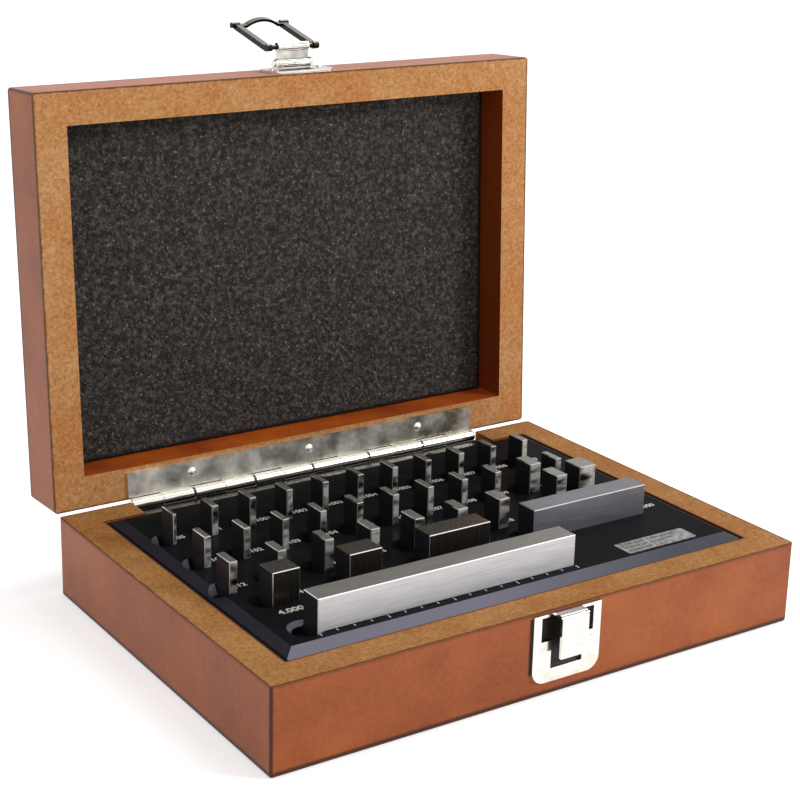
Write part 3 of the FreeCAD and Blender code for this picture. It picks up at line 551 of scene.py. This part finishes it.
# Rolled foil is a soft grey metal, mottled by the glue under it.
aluminium_foil = new_material("aluminium foil label")
point = add(aluminium_foil, "TexCoord", {})
millimetres = add(aluminium_foil, "Mapping", {"Vector": point.outputs["Object"],
                                              "Scale": TO_MILLIMETRES})
mottling = add(aluminium_foil, "TexNoise", {"Vector": millimetres, "Scale": 1 / MOTTLE,
                                            "Detail": 4.0})
foil_tone = add(aluminium_foil, "ValToRGB", {"Fac": mottling}, ramp=(
    (0.3, "#5A5A5C"), (0.7, "#949493")))
surface = add(aluminium_foil, "BsdfPrincipled", {
    "Base Color": foil_tone, "Metallic": 0.7, "Roughness": 0.45})
add(aluminium_foil, "OutputMaterial", {"Surface": surface})
new_piece("size_plate", plate, aluminium_foil, "base")

rows_of_figures = bmesh.new()
for row, text in enumerate(("0.050  0.100  0.1001-0.1009", "0.101-0.109  0.110-0.190",
                            "0.200-0.500  1  2  4")):
    printed(rows_of_figures, text, FIGURE_HEIGHT, plate_centre.x - PLATE.x / 2 + MARGIN,
            plate_centre.y + (1 - row) * ROW_PITCH)
bmesh.ops.translate(rows_of_figures, vec=(0, 0, PLATE.z), verts=rows_of_figures.verts)
new_piece("size_plate_figures", rows_of_figures,
          printing_ink("black label ink", "#2C2C2E", "#141416", 0.5), "base")


# ---- Gauge blocks
# Hardened tool steel, ground and eased on every edge. The two measuring faces, left and right,
# are lapped to a mirror, painted near black as the dark it reflects. The other faces keep fine
# grinding lines along the block.

# Real grinding lines are a few hundredths of a millimetre apart, drawn coarser to show.
LINE_WIDTH, LINE_LENGTH = 0.35 * MM, 12.0 * MM
BAND_WIDTH = 9.0 * MM


def gauge_steel(name, line_axis, front, top, edge, roughness, metal, band=None):
    """Tool steel: ground faces are silky across their lines, lapped faces are painted near black
    as painted reflection, and the eased edges carry a painted highlight as bright threads round
    both.

    front and top are each a pair of tones that the grinding lines run between, along
    line_axis, each painted as the light and reflection that face catches. edge is the tone of
    the painted highlight on the eased edges, metal how metallic the ground faces are, and band
    the height of the bright and dark bands of painted reflection up a narrow front."""
    material = new_material(name)
    point = add(material, "TexCoord", {})
    scales = [1 / LINE_WIDTH] * 3
    scales[line_axis] = 1 / LINE_LENGTH
    stretched = add(material, "Mapping", {"Vector": point.outputs["Object"], "Scale": scales})
    lines = add(material, "TexNoise", {"Vector": stretched, "Scale": 1.0, "Detail": 3.0,
                                       "Roughness": 0.6})

    # Lapped faces, tops and the eased edges round the front and rear are told apart by the way
    # they face.
    facing = add(material, "SeparateXYZ", {"Vector": point.outputs["Normal"]})
    sideways = add(material, "Math", {0: facing.outputs["X"]}, operation="ABSOLUTE")
    forwards = add(material, "Math", {0: facing.outputs["Y"]}, operation="ABSOLUTE")
    lapped = add(material, "MapRange", {"Value": sideways, NONE_AT: 0.9, FULL_AT: 0.98})
    upwards = add(material, "MapRange", {
        "Value": facing.outputs["Z"], NONE_AT: 0.9, FULL_AT: 0.98})
    flattest = add(material, "Math", {0: sideways, 1: forwards}, operation="MAXIMUM")
    flattest = add(material, "Math", {0: flattest, 1: facing.outputs["Z"]},
                   operation="MAXIMUM")
    tilted = add(material, "MapRange", {"Value": flattest, NONE_AT: 0.95, FULL_AT: 0.85})
    to_front = add(material, "MapRange", {"Value": forwards, NONE_AT: 0.3, FULL_AT: 0.5})
    eased = add(material, "Math", {0: tilted, 1: to_front}, operation="MULTIPLY")

    face = add(material, "ValToRGB", {"Fac": lines}, ramp=((0.3, front[0]), (0.7, front[1])))
    top_tone = add(material, "ValToRGB", {"Fac": lines}, ramp=((0.3, top[0]), (0.7, top[1])))
    # Bright and dark bands of painted reflection run up a narrow front.
    if band:
        banded = add(material, "Mapping", {"Vector": point.outputs["Object"], "Scale": (
            1 / BAND_WIDTH, 1 / BAND_WIDTH, 1 / (band * MM))})
        bands = add(material, "TexNoise", {"Vector": banded, "Scale": 1.0, "Detail": 1.5})
        reflected_bands = add(material, "ValToRGB", {"Fac": bands}, ramp=(
            (0.36, "#24231F"), (0.45, "#8E8C86"), (0.58, "#FFFFFF")))
        face = add(material, "Mix", {"Factor": 1.0, A: face, B: reflected_bands}, data_type="RGBA",
                   blend_type="MULTIPLY")
    ground = add(material, "Mix", {"Factor": upwards, A: face, B: top_tone},
                 data_type="RGBA")
    # Lapped faces are painted near black, as painted reflection.
    worked = add(material, "Mix", {"Factor": lapped, A: ground, B: linear("#232326")},
                 data_type="RGBA")
    # The eased edges get a painted highlight.
    colour = add(material, "Mix", {"Factor": eased, A: worked, B: linear(edge)},
                 data_type="RGBA")

    ground_rough = add(material, "MapRange", {
        "Value": lines, NONE_AT: 0.3, FULL_AT: 0.7, "To Min": roughness - 0.05,
        "To Max": roughness + 0.05})
    rough = add(material, "Mix", {"Factor": lapped, A_NUMBER: ground_rough, B_NUMBER: 0.3})
    metallic = add(material, "Mix", {"Factor": lapped, A_NUMBER: metal, B_NUMBER: 0.0})
    relief = add(material, "Mix", {"Factor": lapped, A_NUMBER: lines, B_NUMBER: 0.5})
    bump = add(material, "Bump", {"Height": relief, "Distance": 0.002 * MM})
    surface = add(material, "BsdfPrincipled", {
        "Base Color": colour, "Metallic": metallic, "Roughness": rough,
        "Specular IOR Level": 0.12, "Normal": bump})
    add(material, "OutputMaterial", {"Surface": surface})
    return material


# The two longest blocks are ground along their length, and the next three are polished. Each
# front and top is painted in a tone of the light and reflection it catches: pale fronts on the
# 4 inch, darker on the 2 inch, dark fronts on the polished three, and fronts painted bright up
# the thin ones.
ALONG, UPRIGHT = 0, 2
POLISHED = ["gauge_block_0_4000", "gauge_block_0_5000", "gauge_block_1_0000"]
LONGEST = ["gauge_block_2_0000", "gauge_block_4_0000"]
finish_nodes(["gauge_block_4_0000"], gauge_steel(
    "gauge steel, satin ground", ALONG, front=("#D2D5D9", "#E9ECF0"),
    top=("#676562", "#807D79"), edge="#E9E8E4", roughness=0.5, metal=0.6))
finish_nodes(["gauge_block_2_0000"], gauge_steel(
    "gauge steel, fine ground", ALONG, front=("#7B797F", "#918F97"),
    top=("#5A585C", "#7C7A7E"), edge="#B3B2B6", roughness=0.42, metal=0.8))
finish_nodes(POLISHED, gauge_steel(
    "gauge steel, polished", UPRIGHT, front=("#413C35", "#514B44"),
    top=("#6E6860", "#7F7970"), edge="#E9E8E4", roughness=0.25, metal=0.85))
finish_nodes([name for name in block_names if name not in POLISHED + LONGEST], gauge_steel(
    "gauge steel, ground upright", UPRIGHT, front=("#E2E0DA", "#FFFDF8"),
    top=("#6A6862", "#8E8C86"), edge="#AFACA5", roughness=0.4, metal=0.7, band=3.2))


# ---- Piano hinge
# Two leaves of rolled steel strip, curled round a pin and screwed to the rims. They have a dull
# zinc coating, and the barrel is rubbed bright.

hinge_low, hinge_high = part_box("hinge_pin")
# All in millimetres: the barrel's radius, the distance between joints in it, the clouds on the
# leaves, and the soft waves that a press leaves in nickel plated steel.
BARREL, KNUCKLE, LEAF_CLOUD, PRESS_WAVE = 2.3, 13.0, 9.0, 4.0
DARK_JOINTS_AND_SHADE = "#2A2620"


def zinc_plate(name, dark, light, roughness):
    """Zinc that has gone cloudy between two tones on the leaf, darker towards the right, and is
    worn bright on the barrel, darker at every second joint, with painted shade on the side
    turned to the base."""
    material = new_material(name)
    point = add(material, "TexCoord", {})
    from_axis = add(material, "Mapping", {"Vector": point.outputs["Object"],
                                          "Location": -pivot / MM,
                                          "Scale": TO_MILLIMETRES})
    spot = add(material, "SeparateXYZ", {"Vector": from_axis})
    across_pin = add(material, "CombineXYZ", {"Y": spot.outputs["Y"], "Z": spot.outputs["Z"]})
    from_pin = add(material, "VectorMath", {0: across_pin}, operation="LENGTH")
    barrel = add(material, "MapRange", {
        "Value": from_pin, NONE_AT: BARREL + 0.3, FULL_AT: BARREL})

    clouds = add(material, "TexNoise", {"Vector": from_axis, "Scale": 1 / LEAF_CLOUD,
                                        "Detail": 6.0, "Roughness": 0.65})
    darker_to_right = add(material, "MapRange", {
        "Value": spot.outputs["X"], NONE_AT: hinge_low.x / MM, FULL_AT: hinge_high.x / MM,
        "To Min": 0.16, "To Max": -0.2})
    clouded = add(material, "Math", {0: clouds, 1: darker_to_right}, operation="ADD")
    leaf_tone = add(material, "ValToRGB", {"Fac": clouded}, ramp=((0.2, dark), (0.78, light)))

    # Every second joint of the barrel is darker, but not its ends.
    along_pin = add(material, "Math", {0: spot.outputs["X"], 1: hinge_low.x / MM},
                    operation="SUBTRACT")
    to_joint = add(material, "Math", {0: along_pin, 1: KNUCKLE}, operation="PINGPONG")
    at_joint = add(material, "MapRange", {"Value": to_joint, NONE_AT: 0.75, FULL_AT: 0.3})
    facing = add(material, "SeparateXYZ", {"Vector": point.outputs["Normal"]})
    endways = add(material, "Math", {0: facing.outputs["X"]}, operation="ABSOLUTE")
    around = add(material, "MapRange", {"Value": endways, NONE_AT: 0.9, FULL_AT: 0.7})
    in_joint = add(material, "Math", {0: at_joint, 1: around}, operation="MULTIPLY")
    # The side turned to the base is painted dark, as shade.
    downwards = add(material, "MapRange", {
        "Value": facing.outputs["Z"], NONE_AT: 0.25, FULL_AT: -0.15})
    inwards = add(material, "MapRange", {
        "Value": facing.outputs["Y"], NONE_AT: -0.2, FULL_AT: -0.5})
    underneath = add(material, "Math", {0: downwards, 1: inwards}, operation="MINIMUM")
    dark_joints_and_shade = add(material, "Math", {0: in_joint, 1: underneath}, operation="MAXIMUM")
    barrel_tone = add(material, "Mix", {
        "Factor": dark_joints_and_shade, A: linear("#F0ECE2"), B: linear(DARK_JOINTS_AND_SHADE)}, data_type="RGBA")

    tone = add(material, "Mix", {"Factor": barrel, A: leaf_tone, B: barrel_tone},
               data_type="RGBA")
    leaf_rough = add(material, "MapRange", {
        "Value": clouds, NONE_AT: 0.3, FULL_AT: 0.7, "To Min": roughness,
        "To Max": roughness + 0.2})
    rough = add(material, "Mix", {"Factor": barrel, A_NUMBER: leaf_rough, B_NUMBER: 0.14})
    surface = add(material, "BsdfPrincipled", {
        "Base Color": tone, "Metallic": 0.9, "Roughness": rough})
    add(material, "OutputMaterial", {"Surface": surface})
    return material


finish_nodes(["hinge_lid_leaf", "hinge_pin"],
             zinc_plate("zinc plated steel, cloudy", "#6C6657", "#F6F2E8", 0.38))
# The leaf on the base lies flat behind the blocks, and is painted dark, as shade.
finish_nodes(["hinge_base_leaf", "hinge_base_screws"],
             zinc_plate("zinc plated steel, in painted shade", "#2B2923", "#49463D", 0.2))


def nickel_plate(name, dark, light, upper, roughness):
    """Nickel: bright and faintly warm, between two tones in soft waves left by the press. upper
    is a tone painted on the faces turned up, as the reflection they catch."""
    material = new_material(name)
    point = add(material, "TexCoord", {})
    millimetres = add(material, "Mapping", {"Vector": point.outputs["Object"],
                                            "Scale": TO_MILLIMETRES})
    pressing = add(material, "TexNoise", {"Vector": millimetres, "Scale": 1 / PRESS_WAVE,
                                          "Detail": 3.0})
    pressed = add(material, "ValToRGB", {"Fac": pressing}, ramp=((0.3, dark), (0.7, light)))
    facing = add(material, "SeparateXYZ", {"Vector": point.outputs["Normal"]})
    upwards = add(material, "MapRange", {
        "Value": facing.outputs["Z"], NONE_AT: 0.6, FULL_AT: 0.9})
    tone = add(material, "Mix", {"Factor": upwards, A: pressed, B: linear(upper)},
               data_type="RGBA")
    rough = add(material, "MapRange", {
        "Value": pressing, NONE_AT: 0.3, FULL_AT: 0.7, "To Min": roughness,
        "To Max": roughness + 0.1})
    bump = add(material, "Bump", {"Height": pressing, "Distance": 0.05 * MM})
    surface = add(material, "BsdfPrincipled", {
        "Base Color": tone, "Metallic": 1.0, "Roughness": rough, "Normal": bump})
    add(material, "OutputMaterial", {"Surface": surface})
    return material


# The heads of the lid's screws catch the light as pale dots.
finish_nodes(["hinge_lid_screws"],
             nickel_plate("nickel plated steel, screws", "#E6E3DC", "#FFFFFC", "#F6F4EE", 0.35))


# ---- Keeper and latch
# Both plates, the lever and the bail are pressed from sheet steel, barrel polished and nickel
# plated. The plates are nailed to the front, the lever turns on a pin in the latch plate's ears,
# and the near bar of the bail turns in the lever.

# Their faces turned up are painted darker, as painted reflection.
finish_nodes(["keeper_plate", "keeper_nails", "latch_plate", "latch_plate_nails",
              "latch_lever_pin"],
             nickel_plate("nickel plated steel, bright", "#DAD6CE", "#F4F1EA", "#A39A97", 0.1))
# The lever is a little greyer.
finish_nodes(["latch_lever"],
             nickel_plate("nickel plated steel, lever", "#B5B1A9", "#E6E3DB", "#BDB8B0", 0.14))
# The bail is painted nearly black, as painted reflection, and its upper faces lighter, as a
# painted highlight.
finish_nodes(["latch_bail"],
             nickel_plate("nickel plated steel, bail", "#100F0D", "#26241F", "#7B766E", 0.16))


# ---- Table, lamps and camera
# The open case stands on a plain white table in an even white studio, lit by two soft boxes.

TABLE_SIZE = 3.0
WHITE = [1.0, 1.0, 1.0, 1.0]
TABLE_GLOW = 0.5                   # added where the table is looked at
ROOM_LIGHT, ROOM_SEEN = 0.6, 1.0   # the room's strength as a lamp, and as it is looked at
CASE_MIDDLE = Vector((0, 0, 0.08))


def looked_at(material):
    """1 where the surface is looked at, or seen in a reflection, and 0 where it lights things."""
    paths = add(material, "LightPath", {})
    seen = add(material, "Math", {0: paths.outputs["Is Camera Ray"],
                                  1: paths.outputs["Is Glossy Ray"]}, operation="MAXIMUM")
    return add(material, "Math", {0: seen, 1: paths.outputs["Is Transmission Ray"]},
               operation="MAXIMUM")


matt_white = new_material("matt white table")
glow_strength = add(matt_white, "MapRange", {"Value": looked_at(matt_white),
                                             "To Max": TABLE_GLOW})
lit = add(matt_white, "BsdfDiffuse", {"Color": linear("#EDEDED")})
glow = add(matt_white, "Emission", {"Color": WHITE, "Strength": glow_strength})
surface = add(matt_white, "AddShader", {0: lit, 1: glow})
add(matt_white, "OutputMaterial", {"Surface": surface})

table_top = bmesh.new()
bmesh.ops.create_grid(table_top, x_segments=1, y_segments=1, size=TABLE_SIZE)
table_mesh = bpy.data.meshes.new("table_top")
table_top.to_mesh(table_mesh)
table_top.free()
table_mesh.materials.append(matt_white)
table = bpy.data.objects.new("table_top", table_mesh)
bpy.context.scene.collection.objects.link(table)

studio = bpy.data.worlds.new("white studio")
bpy.context.scene.world = studio
studio.use_nodes = True
studio.node_tree.nodes.clear()
strength = add(studio, "MapRange", {"Value": looked_at(studio), "To Min": ROOM_LIGHT,
                                    "To Max": ROOM_SEEN})
background = add(studio, "Background", {"Color": WHITE, "Strength": strength})
add(studio, "OutputWorld", {"Surface": background})


def soft_box(name, direction, distance, size, watts):
    """A square lamp that faces the case from a direction."""
    lamp = bpy.data.lights.new(name, "AREA")
    lamp.shape = "SQUARE"
    lamp.size = size
    lamp.energy = watts
    holder = bpy.data.objects.new(name, lamp)
    bpy.context.scene.collection.objects.link(holder)
    away = Vector(direction).normalized()
    holder.location = CASE_MIDDLE + away * distance
    holder.rotation_euler = away.to_track_quat("Z", "Y").to_euler()


soft_box("overhead", (0.45, 0.25, 0.85), distance=1.3, size=0.8, watts=7.0)
soft_box("key", (0.75, -0.75, 0.55), distance=1.4, size=0.3, watts=8.0)

# The camera stands before the front left corner and looks down a little, with a long lens.
CAMERA_PLACE = Vector((-0.33944, -0.47849, 0.27284))
YAW, PITCH, ROLL = 0.569, -0.295, 0.015
camera_data = bpy.data.cameras.new("camera")
camera_data.sensor_width = 36.0
camera_data.lens = 79.75
camera_data.shift_x = 0.0671
camera_data.shift_y = -0.0558
camera = bpy.data.objects.new("camera", camera_data)
camera.matrix_world = (Matrix.Translation(CAMERA_PLACE)
                       @ Matrix.Rotation(-YAW, 4, "Z")
                       @ Matrix.Rotation(math.pi / 2 + PITCH, 4, "X")
                       @ Matrix.Rotation(ROLL, 4, "Z"))
bpy.context.scene.collection.objects.link(camera)
bpy.context.scene.camera = camera
bpy.context.scene.view_settings.view_transform = "Standard"
